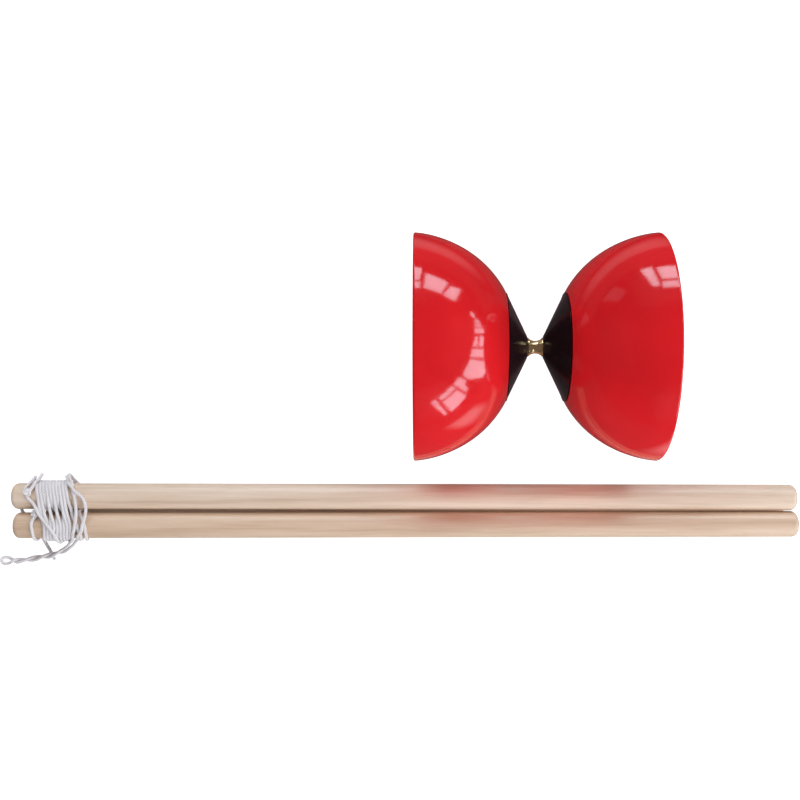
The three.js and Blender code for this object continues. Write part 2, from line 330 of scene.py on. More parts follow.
def pale_wood(name, seed, tone=(1, 1, 1)):
    """A sanded and sealed hardwood dowel with a long faint figure and short pores. tone darkens it."""
    shades = [(0.60, 0.435, 0.315), (0.72, 0.555, 0.430), (0.79, 0.635, 0.515)]
    shades = [[c * t for c, t in zip(shade, tone)] for shade in shades]
    paint = Paint(name, IOR=1.45, Coat_Weight=0.35, Coat_Roughness=0.22)
    long_way = paint.node("Mapping", {
        "Vector": paint.node("TexCoord")["Object"], "Scale": (0.035, 1, 1), "Location": (seed, 0, seed),
    })[0]
    figure = paint.noise(long_way, 330, 5, 0.6)
    stripe = paint.noise(long_way, 1300, 3, 0.6)
    pores = paint.noise(paint.place((0.10, 1, 1)), 5200, 2)
    blend = paint.math("ADD", paint.math("MULTIPLY", figure, 0.7), paint.math("MULTIPLY", stripe, 0.3))
    colour = paint.ramp(blend, *zip((0.34, 0.5, 0.66), shades))
    polish = paint.spread(pores, 0.42, 0.60)
    fibres = paint.bump(stripe, 0.00005, 0.45)
    pits = paint.bump(pores, 0.00003, 0.5, fibres)
    return paint.use(Base_Color=colour, Roughness=polish, Normal=pits)


def braided_string():
    """White braided cotton. UVs run along the string in millimetres and once round it."""
    plait = 1.1  # the length of one crossing of the braid
    strands_round = 4
    paint = Paint("string_white", IOR=1.45, Sheen_Weight=0.25, Sheen_Roughness=0.6)
    parts = paint.node("SeparateXYZ", {0: paint.node("TexCoord")["UV"]})
    along = paint.math("MULTIPLY", parts[0], 1 / plait)
    around = paint.math("MULTIPLY", parts[1], strands_round)
    strands = []
    for operation in ("ADD", "SUBTRACT"):
        phase = paint.math("MULTIPLY", paint.math(operation, along, around), math.pi)
        strands.append(paint.math("ABSOLUTE", paint.math("SINE", phase)))
    weave = paint.math("MULTIPLY", strands[0], strands[1])
    cloud = paint.noise(paint.place(), 300, 4)
    height = paint.math("ADD", paint.math("MULTIPLY", weave, 0.75), paint.math("MULTIPLY", cloud, 0.5))
    # the colour follows the braid's relief and a cloud of random tone: the grooves between strands get
    # painted shade
    colour = paint.ramp(
        height, (0.15, (0.50, 0.465, 0.47)), (0.5, (0.765, 0.725, 0.74)), (1.0, (0.85, 0.81, 0.825)))
    polish = paint.spread(cloud, 0.7, 0.9)
    return paint.use(Base_Color=colour, Roughness=polish, Normal=paint.bump(height, 0.00012, 0.7))


RED = red_plastic()
BLACK = black_plastic()
BRASS = brass()
STEEL = zinc_steel()
STRING = braided_string()


# ---- the string: one cord from the rear stick's hole, round both sticks, out in a tail and back ----
def stick_y(stick, x):
    """Where a stick's centre line lies at x."""
    share = (x - stick["x"] + STICK_HALF) / (2 * STICK_HALF)
    return stick["left"] + (stick["right"] - stick["left"]) * share


def stick_z(x):
    """How high the sticks' centre lines are at x."""
    return STICK_CENTRE_Z - x * STICK_FALL


def around(stick, x, degrees, radius=ON_STICK):
    """A point beside a stick: degrees round from its top, towards the rear."""
    angle = math.radians(degrees)
    return (x, stick_y(stick, x) + radius * math.sin(angle), stick_z(x) + radius * math.cos(angle))


def in_hole(stick, height):
    """A point on the line of a stick's hole, height above the stick's centre line."""
    x = stick["x"] - STICK_HALF + STICK_HOLE_INSET
    lean = math.radians(stick["tilt"])
    return (x + STICK_FALL * height, stick_y(stick, x) + height * math.tan(lean), stick_z(x) + height)


def sweep(stick, x_start, x_end, start, end, steps=4):
    """Points round a stick from one angle to another."""
    return [
        around(stick, x_start + (x_end - x_start) * i / steps, start + (end - start) * i / steps)
        for i in range(steps + 1)
    ]


# where each of the nine tight turns crosses the sides and tops of the sticks
TURNS = 9
DIVES = (2, 4, 6)  # these turns go round each stick by itself
FRONT_SIDE = [-146.75 + 1.300 * i for i in range(TURNS + 1)]
FRONT_TOP = [-145.40 + 1.300 * i for i in range(TURNS + 1)]
REAR_TOP = [-148.00 + 1.315 * i for i in range(TURNS + 1)]
REAR_SIDE = [-150.30 + 1.325 * i for i in range(TURNS + 1)]
GAP_X = [(a + b) / 2 - 0.35 for a, b in zip(FRONT_TOP, REAR_TOP)]
GAP_Y = -48.25


def over_both(i):
    """Over the front stick and the rear stick, from side to side."""
    front_mid = (FRONT_SIDE[i] + FRONT_TOP[i]) / 2
    rear_mid = (REAR_SIDE[i] + REAR_TOP[i]) / 2
    return [
        around(FRONT, FRONT_SIDE[i], -90), around(FRONT, front_mid, -45), around(FRONT, FRONT_TOP[i], 0),
        (GAP_X[i], GAP_Y, stick_z(GAP_X[i]) + ON_STICK),
        around(REAR, REAR_TOP[i], 0), around(REAR, rear_mid, 45), around(REAR, REAR_SIDE[i], 90),
    ]


def under_both(x_rear, x_front, radius=ON_STICK, back=False):
    """Under both sticks from the rear side to the front side, or back the other way. The points at the
    sides are left to the strands that it joins."""
    middle = (x_rear + x_front) / 2
    rear_in = x_rear + (x_front - x_rear) * 0.2
    front_in = x_rear + (x_front - x_rear) * 0.8
    route = [
        around(REAR, rear_in, 140, radius), around(REAR, rear_in, 180, radius),
        (middle, GAP_Y, stick_z(middle) - radius),
        around(FRONT, front_in, 180, radius), around(FRONT, front_in, 220, radius),
    ]
    return route[::-1] if back else route


def dive(i):
    """From the rear side of the turn before: round the front stick, then round the rear stick."""
    right = GAP_X[i] + STRING_RADIUS
    left = GAP_X[i] - STRING_RADIUS
    return [
        *sweep(REAR, REAR_SIDE[i - 1], right, 90, 235),
        (right, GAP_Y, stick_z(right)),
        *sweep(FRONT, right, FRONT_TOP[i], 60, 0, 2),
        *sweep(FRONT, FRONT_TOP[i], FRONT_SIDE[i], 0, -90, 3)[1:],
        *sweep(FRONT, FRONT_SIDE[i], left, -90, -235),
        (left, GAP_Y, stick_z(left)),
        *sweep(REAR, left, REAR_TOP[i], -60, 0, 2),
        *sweep(REAR, REAR_TOP[i], REAR_SIDE[i], 0, 90, 3)[1:],
    ]


def tight_turns():
    """The nine turns one after the other. A turn that follows a dive passes under it."""
    route = []
    for i in range(TURNS):
        route += dive(i) if i in DIVES else over_both(i)
        if i + 1 < TURNS and i + 1 not in DIVES:
            deep = STRING_WIDTH if i in DIVES else 0
            route += under_both(REAR_SIDE[i], FRONT_SIDE[i + 1], ON_STICK + deep)
    return route


# listed points of the string's route, in millimetres, in the order in which the string runs
REAR_END = [(-148.5, -33.3, 8.0), (-149.4, -36.0, 10.5), (-150.3, -37.8, 13.3), (-151.3, -40.1, 14.6)]
INTO_WINDING = [
    (-156.0, -46.3, 2.0), (-159.5, -47.8, 2.6), (-158.8, -49.4, 2.2), (-154.0, -54.0, 1.9),
    (-149.5, -57.6, 2.2),
]
TO_THE_RIGHT = [
    (-132.1, -59.7, 10.0), (-131.8, -56.3, 13.1), (-132.6, -53.5, 13.4), (-134.5, -50.2, 13.0),
    (-135.0, -47.0, 13.4), (-136.1, -43.8, 13.3), (-137.2, -39.8, 13.0), (-138.7, -36.7, 8.9),
]
ROUND_THE_FRONT = [
    (-132.7, -47.8, 10.0), (-131.8, -49.6, 12.2), (-130.4, -51.5, 12.9), (-129.2, -55.5, 13.3),
    (-129.6, -59.4, 10.0),
]
LEFT_OF_LOOP = [
    (-136.1, -37.3, 4.0), (-136.7, -35.1, 6.0), (-137.3, -33.2, 9.0), (-136.2, -35.1, 12.0),
    (-134.9, -37.8, 13.2), (-133.8, -40.1, 14.4), (-133.0, -43.3, 14.7), (-132.5, -47.7, 14.8),
    (-132.9, -53.3, 14.7), (-134.2, -57.4, 14.0), (-137.4, -60.9, 7.5),
]
TAIL_OUT = [(-138.2, -62.1, 6.0), (-140.1, -64.0, 4.5)]
TWIST = [
    (-141.3, -65.2, 3.2), (-145.0, -66.6, 3.3), (-148.1, -67.5, 2.7), (-152.7, -68.5, 1.5),
    (-158.1, -69.4, 1.4), (-162.3, -69.8, 1.4),
]
TWIST_HALF_TURN = 7.2
TWIST_START = 20  # degrees
TAIL_LOOP = [
    (-164.6, -68.4, 0.8), (-166.4, -68.0, 0.8), (-167.9, -68.6, 0.8), (-168.5, -69.7, 0.8),
    (-167.7, -70.9, 0.8), (-166.2, -71.2, 0.8), (-164.4, -70.7, 0.8),
]
TAIL_BACK = [(-139.7, -64.6, 4.3), (-137.4, -63.3, 5.0), (-135.3, -61.0, 6.5), (-134.0, -59.4, 8.0)]
RIGHT_OF_LOOP = [
    (-131.1, -57.0, 14.2), (-130.2, -55.3, 14.7), (-129.5, -51.4, 14.1), (-128.7, -47.3, 14.3),
    (-129.4, -43.3, 14.6), (-131.4, -40.9, 14.6), (-133.3, -39.9, 15.0), (-134.5, -38.1, 14.1),
    (-136.2, -36.1, 12.2), (-138.3, -34.0, 9.0),
]
SLANT = [
    (-141.1, -60.7, 7.5), (-141.2, -57.4, 14.1), (-143.7, -53.7, 14.8), (-146.6, -50.2, 14.6),
    (-148.6, -46.5, 14.8), (-150.7, -44.0, 13.6), (-152.6, -42.0, 13.6), (-154.1, -40.0, 13.4),
    (-153.1, -38.0, 12.3), (-152.0, -35.7, 8.9), (-151.9, -34.4, 6.2), (-153.7, -36.6, 3.4),
    (-153.6, -41.0, 2.2), (-151.5, -45.5, 2.4), (-149.9, -48.2, 5.5),
]
FRONT_TIE = [
    (-149.4, -48.3, 9.4), (-149.4, -49.4, 12.4), (-150.2, -51.0, 13.4), (-150.9, -52.5, 13.8),
    (-150.8, -53.9, 13.9), (-150.5, -55.3, 13.6), (-150.5, -56.9, 12.8), (-150.5, -58.6, 11.0),
    (-150.7, -59.9, 8.6), (-150.9, -60.2, 6.2), (-151.1, -59.3, 3.9),
]
FRONT_END = [(-151.0, -59.8, 1.5), (-149.2, -63.2, 0.9), (-147.8, -65.5, 0.8), (-146.0, -69.2, 0.8)]


def smooth_curve(points, step):
    """A Catmull-Rom curve through the points, cut into equal steps. Points that all but meet are merged."""
    kept = [points[0]]
    for point in points[1:]:
        if math.dist(point, kept[-1]) > 0.3:
            kept.append(point)
    p = np.asarray(kept, float)
    p = np.vstack([2 * p[0] - p[1], p, 2 * p[-1] - p[-2]])
    knots = np.concatenate([[0], np.cumsum(np.sqrt(np.linalg.norm(np.diff(p, axis=0), axis=1)))])
    found = []
    for i in range(1, len(p) - 2):
        t = np.linspace(knots[i], knots[i + 1], 24, endpoint=False)[:, None]
        k = knots[i - 1:i + 3]
        a = [((k[j + 1] - t) * p[i - 1 + j] + (t - k[j]) * p[i + j]) / (k[j + 1] - k[j]) for j in range(3)]
        b = [((k[j + 2] - t) * a[j] + (t - k[j]) * a[j + 1]) / (k[j + 2] - k[j]) for j in range(2)]
        found.append(((k[2] - t) * b[0] + (t - k[1]) * b[1]) / (k[2] - k[1]))
    found.append(p[-2][None])
    return resampled(np.vstack(found), step)


def resampled(curve, step):
    """The same curve cut into equal steps."""
    length = np.concatenate([[0], np.cumsum(np.linalg.norm(np.diff(curve, axis=0), axis=1))])
    places = np.linspace(0, length[-1], int(round(length[-1] / step)) + 1)
    return np.column_stack([np.interp(places, length, curve[:, i]) for i in range(3)])


def twisted_pair():
    """The two strands of the tail, out and back, each half a string's width from its middle line."""
    step = 1.2
    middle = smooth_curve(TWIST, step)
    ahead = np.gradient(middle, axis=0)
    ahead /= np.linalg.norm(ahead, axis=1)[:, None]
    side = np.cross(ahead, (0, 0, 1))
    side /= np.linalg.norm(side, axis=1)[:, None]
    up = np.cross(side, ahead)
    turn = math.radians(TWIST_START) + np.arange(len(middle)) * step / TWIST_HALF_TURN * math.pi
    offset = (np.cos(turn)[:, None] * side + np.sin(turn)[:, None] * up) * STRING_RADIUS
    return middle + offset, (middle - offset)[::-1]


def string_route():
    """The whole string from its rear end to its front end, before it settles."""
    out, back = twisted_pair()
    return [
        *REAR_END, *[in_hole(REAR, height) for height in (4.6, 2, -2, -4.6)], *INTO_WINDING,
        *tight_turns(),
        *under_both(REAR_SIDE[-1] + 0.6, -132.4),
        *TO_THE_RIGHT,
        *sweep(REAR, -137.5, -133.4, 100, 235),
        *ROUND_THE_FRONT,
        *under_both(-136.2, -130.0, back=True),
        *LEFT_OF_LOOP, *TAIL_OUT, *out, *TAIL_LOOP, *back, *TAIL_BACK, *RIGHT_OF_LOOP,
        *under_both(-138.9, -141.0, ON_STICK + STRING_WIDTH),
        *SLANT, *FRONT_TIE, *FRONT_END,
    ]


def settled(route):
    """Moves a drawn route until no two strands share the same place and it lies outside the sticks
    and above the surface. It stays near where it was drawn."""
    place = smooth_curve(route, STRING_STEP)
    drawn = place.copy()
    near = int(2.2 * STRING_WIDTH / STRING_STEP)  # points closer than this along the string are left alone
    holes = [(stick, np.array(in_hole(stick, 0)), np.array(in_hole(stick, 1))) for stick in (REAR, FRONT)]
    for _ in range(SETTLING_LAPS):
        bend = np.linalg.norm(place[:-2] - 2 * place[1:-1] + place[2:], axis=1) / STRING_STEP ** 2
        tight = np.convolve(bend > 1 / TIGHTEST_BEND, np.ones(9), "same") > 0
        for weight in (0.25, 0.3 * tight[:, None]):
            place[1:-1] += weight * ((place[:-2] + place[2:]) / 2 - place[1:-1])
        slack = np.concatenate([[False], tight, [False]])
        place += np.where(slack, 0.02, 0.03)[:, None] * (drawn - place)
        tree = KDTree(len(place))
        for i, p in enumerate(place):
            tree.insert(p, i)
        tree.balance()
        push = np.zeros_like(place)
        count = np.ones(len(place))
        for i, p in enumerate(place):
            for _, j, gap in tree.find_range(p, STRING_WIDTH):
                if j - i > near and gap > 1e-6:
                    move = (place[j] - p) / gap * (STRING_WIDTH - gap) * 0.5
                    push[i] -= move
                    push[j] += move
                    count[i] += 0.5
                    count[j] += 0.5
        place += push / count[:, None]
        for stick, base, tip in holes:
            centre_y = stick_y(stick, place[:, 0])
            centre_z = stick_z(place[:, 0])
            off = np.column_stack([place[:, 1] - centre_y, place[:, 2] - centre_z])
            away = np.linalg.norm(off, axis=1)
            line = (tip - base) / np.linalg.norm(tip - base)
            rel = place - base
            aside = np.linalg.norm(rel - (rel @ line)[:, None] * line, axis=1)
            inside = (away < ON_STICK) & (aside > NEAR_HOLE)
            place[inside, 1:] += off[inside] * (ON_STICK / away[inside] - 1)[:, None]
        place[:, 2] = np.maximum(place[:, 2], STRING_RADIUS + 0.02)
    return resampled(place, STRING_STEP)


def frames_along(curve):
    """Two directions across the curve at each point, which don't spin about it."""
    ahead = np.gradient(curve, axis=0)
    ahead /= np.linalg.norm(ahead, axis=1)[:, None]
    across = np.cross(ahead[0], (0.3, 0.5, 0.81))
    across /= np.linalg.norm(across)
    first = []
    for direction in ahead:
        across = across - direction * (across @ direction)
        across /= np.linalg.norm(across)
        first.append(across)
    first = np.array(first)
    return ahead, first, np.cross(ahead, first)


def tube(name, curve, radius, sides=16, closed=False):
    """A round string along the curve. Its ends are rounded unless it is closed. UVs run along it in
    millimetres and once round it."""
    ahead, first, second = frames_along(curve)
    angles = 2 * math.pi * np.arange(sides) / sides
    ring = np.cos(angles)[None, :, None] * first[:, None] + np.sin(angles)[None, :, None] * second[:, None]
    centres = curve
    radii = np.full(len(curve), radius)
    length = np.concatenate([[0], np.cumsum(np.linalg.norm(np.diff(curve, axis=0), axis=1))])
    along = length
    if not closed:
        for turn in np.radians((20, 45, 70)):
            out = radius * 0.5 * math.sin(turn)
            size = radius * math.cos(turn)
            centres = np.vstack([curve[0] - ahead[0] * out, centres, curve[-1] + ahead[-1] * out])
            radii = np.concatenate([[size], radii, [size]])
            ring = np.concatenate([ring[:1], ring, ring[-1:]])
            along = np.concatenate([[-out], along, [length[-1] + out]])
    points = (centres[:, None] + ring * radii[:, None, None]).reshape(-1, 3)
    rows = len(centres)
    faces = tube_faces(rows, sides, closed)
    uvs = []
    for i in range(rows if closed else rows - 1):
        u = (along[i], along[i] + STRING_STEP if i + 1 == rows else along[i + 1])
        for k in range(sides):
            v = (k / sides, (k + 1) / sides)
            uvs += [(u[0], v[0]), (u[0], v[1]), (u[1], v[1]), (u[1], v[0])]
    if not closed:
        for start, flip in ((0, True), ((rows - 1) * sides, False)):
            cap = list(range(start, start + sides))
            faces.append(cap if flip else cap[::-1])
            uvs += [(0, k / sides) for k in range(sides)]
    return mesh_object(name, points, faces, uvs)


def knot(name, centre, lean):
    """A small overhand knot: a trefoil that leans this many degrees."""
    t = np.linspace(0, 2 * math.pi, 120, endpoint=False)
    size = 0.38
    curve = size * np.column_stack([
        np.sin(t) + 2 * np.sin(2 * t), np.cos(t) - 2 * np.cos(2 * t), -1.6 * np.sin(3 * t),
    ])
    turn = np.array(Matrix.Rotation(math.radians(lean), 3, "Y") @ Matrix.Rotation(0.6, 3, "Z"))
    return tube(name, curve @ turn.T + np.array(centre), STRING_RADIUS * 0.95, 14, closed=True)


string_path = settled(string_route())
string = tube("string", string_path, STRING_RADIUS)
rear_knot = knot("string_rear_knot_tied", (-152.25, -40.2, 14.3), 25)
front_knot = knot("string_front_knot_tied", (-149.8, -48.9, 12.8), -30)
for piece in (string, rear_knot, front_knot):
    finished(piece, STRING, "sticks_and_string", "string_white")
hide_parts(*[n for n in frame["nodes"] if n.startswith("string_")])


# ---- the sticks ----
def stick_piece(name, stick):
    """A dowel with rounded ends and a countersunk hole drilled across it, laid where the CAD has it."""
    shoulder = STICK_HALF - STICK_ROUND
    edge = STICK_RADIUS - STICK_ROUND
    rows = [(-STICK_HALF, 0), *arc(-shoulder, edge, STICK_ROUND, 180, 90, 12)]
    rows += [(x, STICK_RADIUS) for x in np.linspace(-shoulder + 2, shoulder - 2, 150)]
    rows += [*arc(shoulder, edge, STICK_ROUND, 90, 0, 12), (STICK_HALF, 0)]
    rod = turned(name, rows, 96)
    half_drill = [(4.5, STICK_HOLE_RADIUS), (5.1, STICK_HOLE_RADIUS + 0.25), (9, 2.4), (9, 0)]
    cutter = turned("drill", [(-x, radius) for x, radius in half_drill[::-1]] + half_drill, 48)
    upright = Matrix.Rotation(math.radians(90 - stick["tilt"]), 4, "X") @ Matrix.Rotation(math.pi / 2, 4, "Z")
    cutter.data.transform(Matrix.Translation(((STICK_HOLE_INSET - STICK_HALF) * MM, 0, 0)) @ upright)
    cut = rod.modifiers.new("hole", "BOOLEAN")
    cut.operation = "DIFFERENCE"
    cut.solver = "EXACT"
    cut.object = cutter
    drilled = bpy.data.meshes.new_from_object(rod.evaluated_get(bpy.context.evaluated_depsgraph_get()))
    rod.modifiers.clear()
    rod.data = drilled
    bpy.data.objects.remove(cutter)
    yaw = math.atan2(stick["right"] - stick["left"], 2 * STICK_HALF)
    middle = ((stick["left"] + stick["right"]) / 2) * MM
    rod.data.transform(
        Matrix.Translation((stick["x"] * MM, middle, STICK_CENTRE_Z * MM))
        @ Matrix.Rotation(yaw, 4, "Z") @ Matrix.Rotation(STICK_FALL, 4, "Y"))
    return sharpen(rod, 40)


for name, stick, seed, tone in (
        ("rear_stick", REAR, 3, (1, 1, 1)), ("front_stick", FRONT, 11, (0.92, 0.86, 0.80))):
    wood = pale_wood(name + "_wood", seed, tone)
    finished(stick_piece(name + "_turned", stick), wood, "sticks_and_string", "stick_wood", name)


# ---- the spool ----
def cup_profile(steps=64):
    """A bowl of even wall with a flat floor round the hub's boss and a rolled lip."""
    start = np.array([CUP_BASE_X, CUP_BASE_RADIUS])
    pulls = [
        start, start + CUP_BASE_PULL * np.array([1, CUP_BASE_SLOPE]),
        np.array([RIM_X - CUP_RIM_PULL, RIM_RADIUS]), np.array([RIM_X, RIM_RADIUS]),
    ]
    lip = RIM_X - LIP_ROUND
    outside = []
    inside = []
    for t in np.linspace(0, 1, steps, endpoint=False):
        weights = ((1 - t) ** 3, 3 * t * (1 - t) ** 2, 3 * t * t * (1 - t), t ** 3)
        point = sum(w * p for w, p in zip(weights, pulls))
        steer = ((1 - t) ** 2, 2 * t * (1 - t), t * t)
        along = sum(w * (b - a) for w, a, b in zip(steer, pulls, pulls[1:]))
        along = along / np.linalg.norm(along)
        within = point + CUP_WALL * np.array([along[1], -along[0]])
        if point[0] < lip - 0.1:
            outside.append(tuple(point))
        if CUP_FLOOR_X + 0.3 < within[0] < lip - 0.1:
            inside.insert(0, tuple(within))
    return [
        (CUP_BASE_X, CUP_HOLE), (CUP_BASE_X, CUP_BASE_RADIUS - 0.3),
        *arc(CUP_BASE_X + 0.25, CUP_BASE_RADIUS - 0.1, 0.25, 180, 120, 3), *outside[1:],
        *arc(lip, RIM_RADIUS - LIP_ROUND, LIP_ROUND, 90, 0),
        *arc(lip, RIM_RADIUS - CUP_WALL + LIP_ROUND, LIP_ROUND, 0, -90), *inside,
        (CUP_FLOOR_X, CUP_BASE_RADIUS - 3), (CUP_FLOOR_X, CUP_HOLE), (CUP_BASE_X, CUP_HOLE),
    ]


def hub_profile():
    """A cone with a rounded nose and back edge, and behind it the boss that centres the cup."""
    long = HUB_BACK_X - HUB_NOSE_X
    rise = HUB_BACK_RADIUS - HUB_NOSE_RADIUS
    return [
        (HUB_NOSE_X, BOLT_HOLE), (HUB_NOSE_X, HUB_NOSE_RADIUS - 0.25),
        *arc(HUB_NOSE_X + 0.25, HUB_NOSE_RADIUS - 0.2, 0.25, 180, 115, 4),
        *[(HUB_NOSE_X + s * long, HUB_NOSE_RADIUS + s * rise) for s in np.linspace(0.03, 0.985, 24)],
        *arc(HUB_BACK_X - 0.2, HUB_BACK_RADIUS - 0.25, 0.2, 90, 0, 4),
        (HUB_BACK_X, HUB_BOSS_RADIUS), (CUP_FLOOR_X, HUB_BOSS_RADIUS),
        (CUP_FLOOR_X, BOLT_HOLE), (HUB_NOSE_X, BOLT_HOLE),
    ]


def ring_profile(start, thick, radius, round_off=SMALL_ROUND):
    """A disc on the bolt with rounded outer edges."""
    return [
        (start, BOLT_HOLE), *arc(start + round_off, radius - round_off, round_off, 180, 90, 3),
        *arc(start + thick - round_off, radius - round_off, round_off, 90, 0, 3), (start + thick, BOLT_HOLE),
        (start, BOLT_HOLE),
    ]


def bush_profile():
    """A hollow groove between two thin lips."""
    groove_end = BUSH_HALF - BUSH_LIP_WIDTH
    groove = [
        (s * groove_end, BUSH_NECK_RADIUS + (BUSH_GROOVE_RADIUS - BUSH_NECK_RADIUS) * s * s)
        for s in np.linspace(-1, 1, 40)
    ]
    lip = BUSH_LIP_RADIUS - SMALL_ROUND
    return [
        (-BUSH_HALF, BOLT_HOLE), *arc(-BUSH_HALF + SMALL_ROUND, lip, SMALL_ROUND, 180, 90, 3),
        *arc(-groove_end - SMALL_ROUND, lip, SMALL_ROUND, 90, 0, 3), *groove,
        *arc(groove_end + SMALL_ROUND, lip, SMALL_ROUND, 180, 90, 3),
        *arc(BUSH_HALF - SMALL_ROUND, lip, SMALL_ROUND, 90, 0, 3),
        (BUSH_HALF, BOLT_HOLE), (-BUSH_HALF, BOLT_HOLE),
    ]


def hex_piece(name, start, height, bore):
    """A hexagon that is chamfered to a circle at its outer end, with a bore or a socket through it."""
    flat = HEX_ACROSS_FLATS / 2
    sides = 96
    end = start + height

    def hexagon(angle):
        """Its corners are cut off a little."""
        wide = flat / math.cos((angle + math.pi / 6) % (math.pi / 3) - math.pi / 6)
        return min(wide, flat * 1.14)

    rows = [(start, hexagon), (end - HEX_CHAMFER, hexagon), (end, flat * 0.97), (end, bore), (start, bore)]
    points = [p for x, radius in rows for p in ring_of_points(x, radius, sides)]
    return mesh_object(name, points, tube_faces(len(rows), sides, closed=True))


def bolt_shank(name):
    """The threaded end shows past the nut. The rest is plain."""
    sides = 48
    start = -NUT_X - 0.1
    count = int((BOLT_END_X - start) * 8 / THREAD_PITCH)
    points = []
    for i in range(count + 1):
        x = start + (BOLT_END_X - start) * i / count
        taper = max(0.0, x - BOLT_END_X + BOLT_TAPER) * 0.6

        def threaded(angle):
            turn = (x / THREAD_PITCH + angle / (2 * math.pi)) % 1
            depth = THREAD_DEPTH * abs(2 * turn - 1) if x > THREAD_START_X else 0
            return BOLT_RADIUS - max(depth, taper)

        points += ring_of_points(x, threaded, sides)
    ends = [list(range(sides))[::-1], list(range(count * sides, (count + 1) * sides))]
    return mesh_object(name, points, tube_faces(count + 1, sides) + ends)


def on_body_of(node):
    """The name of the body that a CAD node belongs to."""
    bodies = frame["record"]["behaviour"]["bodies"]
    return next(body for body, nodes in bodies.items() if node in nodes)


DISC = ring_profile(DISC_X, DISC_THICKNESS, DISC_RADIUS, 0.3)
WASHER = ring_profile(WASHER_X, WASHER_THICKNESS, WASHER_RADIUS)
for side, flip in (("left", True), ("right", False)):
    pieces = [
        (turned(side + "_cup_shell", cup_profile(), 256), RED, "cup_red", side + "_cup"),
        (turned(side + "_hub_cone", hub_profile(), 256), BLACK, "hub_black", side + "_hub"),
        (turned(side + "_disc", DISC, 160), BLACK, "hub_black", side + "_clamp_disc"),
        (turned(side + "_washer_ring", WASHER, 96), STEEL, "steel", side + "_washer"),
    ]
    for piece, material, slot, node in pieces:
        finished(sharpen(place_on_axle(piece, flip)), material, on_body_of(node), slot, node)

bush = turned("waist_bush", bush_profile(), 192)
finished(sharpen(place_on_axle(bush, False)), BRASS, on_body_of("axle_spool"), "brass", "axle_spool")
for piece, flip, node in (
        (hex_piece("bolt_head", NUT_X, BOLT_HEAD_HEIGHT, BOLT_HEAD_SOCKET), True, "axle_bolt"),
        (bolt_shank("bolt_shank"), False, "axle_bolt"),
        (hex_piece("lock_nut", NUT_X, NUT_HEIGHT, BOLT_HOLE), False, "axle_nut")):
    finished(sharpen(place_on_axle(piece, flip)), STEEL, on_body_of(node), "steel", node)


# ---- the floor ----
FLOOR_SIZE = 7000
WHITE = (1, 1, 1, 1)


def dull_material(name, colour, glow=0.0):
    """A surface without any gloss, which may also glow."""
    return Paint(name, Base_Color=(*colour, 1), Roughness=0.9, Specular_IOR_Level=0.0, Emission_Color=WHITE,
                 Emission_Strength=glow).material


def seen_by(piece, camera=False, diffuse=False, glossy=False, shadow=False):
    """Says which rays meet a piece of the studio."""
    piece.visible_camera = camera
    piece.visible_diffuse = diffuse
    piece.visible_glossy = glossy
    piece.visible_transmission = False
    piece.visible_shadow = shadow
    piece.visible_volume_scatter = False


def disc_mesh(name, radius, z):
    sides = 96
    rim = [(y, x, z) for z, x, y in ring_of_points(z, radius, sides)]
    faces = [(0, 1 + k, 1 + (k + 1) % sides) for k in range(sides)]
    return mesh_object(name, [(0, 0, z), *rim], faces)


def dome_mesh(name, radius, z):
    sides, rows = 64, 16
    points = []
    for i in range(rows + 1):
        rise = math.pi / 2 * i / rows
        rim = ring_of_points(z + radius * math.sin(rise), radius * math.cos(rise), sides)
        points += [(y, x, z) for z, x, y in rim]
    return mesh_object(name, points, tube_faces(rows + 1, sides))


def floor_piece(name, material, z, **seen):
    """One of the layers of the plain floor: what the camera sees, what lights the object from below,
    and what its polish reflects."""
    piece = disc_mesh(name, FLOOR_SIZE, z)
    piece.data.materials.append(material)
    seen_by(piece, **seen)


PALE = (0.78, 0.78, 0.78)
DIM = (0.66, 0.66, 0.66)
floor_piece("floor", dull_material("floor_white", (0.5, 0.5, 0.5), 0.96), -0.05, camera=True)
floor_piece("floor_bounce", dull_material("floor_pale", PALE), -0.3, diffuse=True, shadow=True)
floor_piece("floor_reflected", dull_material("floor_dim", DIM), -0.6, glossy=True)
backdrop = dome_mesh("backdrop", FLOOR_SIZE, -1)
backdrop.data.materials.append(dull_material("backdrop_white", (0, 0, 0), 1.0))
seen_by(backdrop, camera=True)


def painted_gap_shade():
    """The floor that shows between the sticks: a sheet of painted shade, darker towards the left, whose brown
    tint and warm glow towards the right are painted light thrown by the wood on both sides of it.
    """
    left, right, front, rear, z = -150, 156.5, -55, -42, -0.04
    corners = [(left, front, z), (right, front, z), (right, rear, z), (left, rear, z)]
    strip = mesh_object("painted_gap_shade_sheet", corners, [(0, 1, 2, 3)])
    # painted shade and painted bounce light, on a sheet that only the camera sees
    shade = Paint("painted_gap_shade_and_glow", Roughness=0.9, Emission_Color=(1, 0.56, 0.36, 1))
    along = shade.spread(shade.node("SeparateXYZ", {0: shade.place()})[0], 0, 1, -0.15, 0.15)
    # painted shade: dark brown at the left end of the sticks, paler and browner towards the right
    colour = shade.ramp(along, (0, (0.50, 0.37, 0.27)), (0.5, (0.85, 0.56, 0.40)), (1, (1.0, 0.72, 0.55)))
    # painted light: a warm glow that rises towards the right, for the light that the wood throws
    glow = shade.spread(along, 0, 0.22, 0.4, 0.8)
    strip.data.materials.append(shade.use(Base_Color=colour, Emission_Strength=glow))
    seen_by(strip, camera=True)
    return strip


# a sheet of painted shade and painted bounce light under the gap between the sticks
painted_gap_shade()

# ---- the light ----
world = bpy.data.worlds.new("room")
bpy.context.scene.world = world
world.use_nodes = True
world.node_tree.nodes["Background"].inputs["Color"].default_value = (1, 0.97, 0.95, 1)
world.node_tree.nodes["Background"].inputs["Strength"].default_value = 0.16
world.cycles_visibility.glossy = False

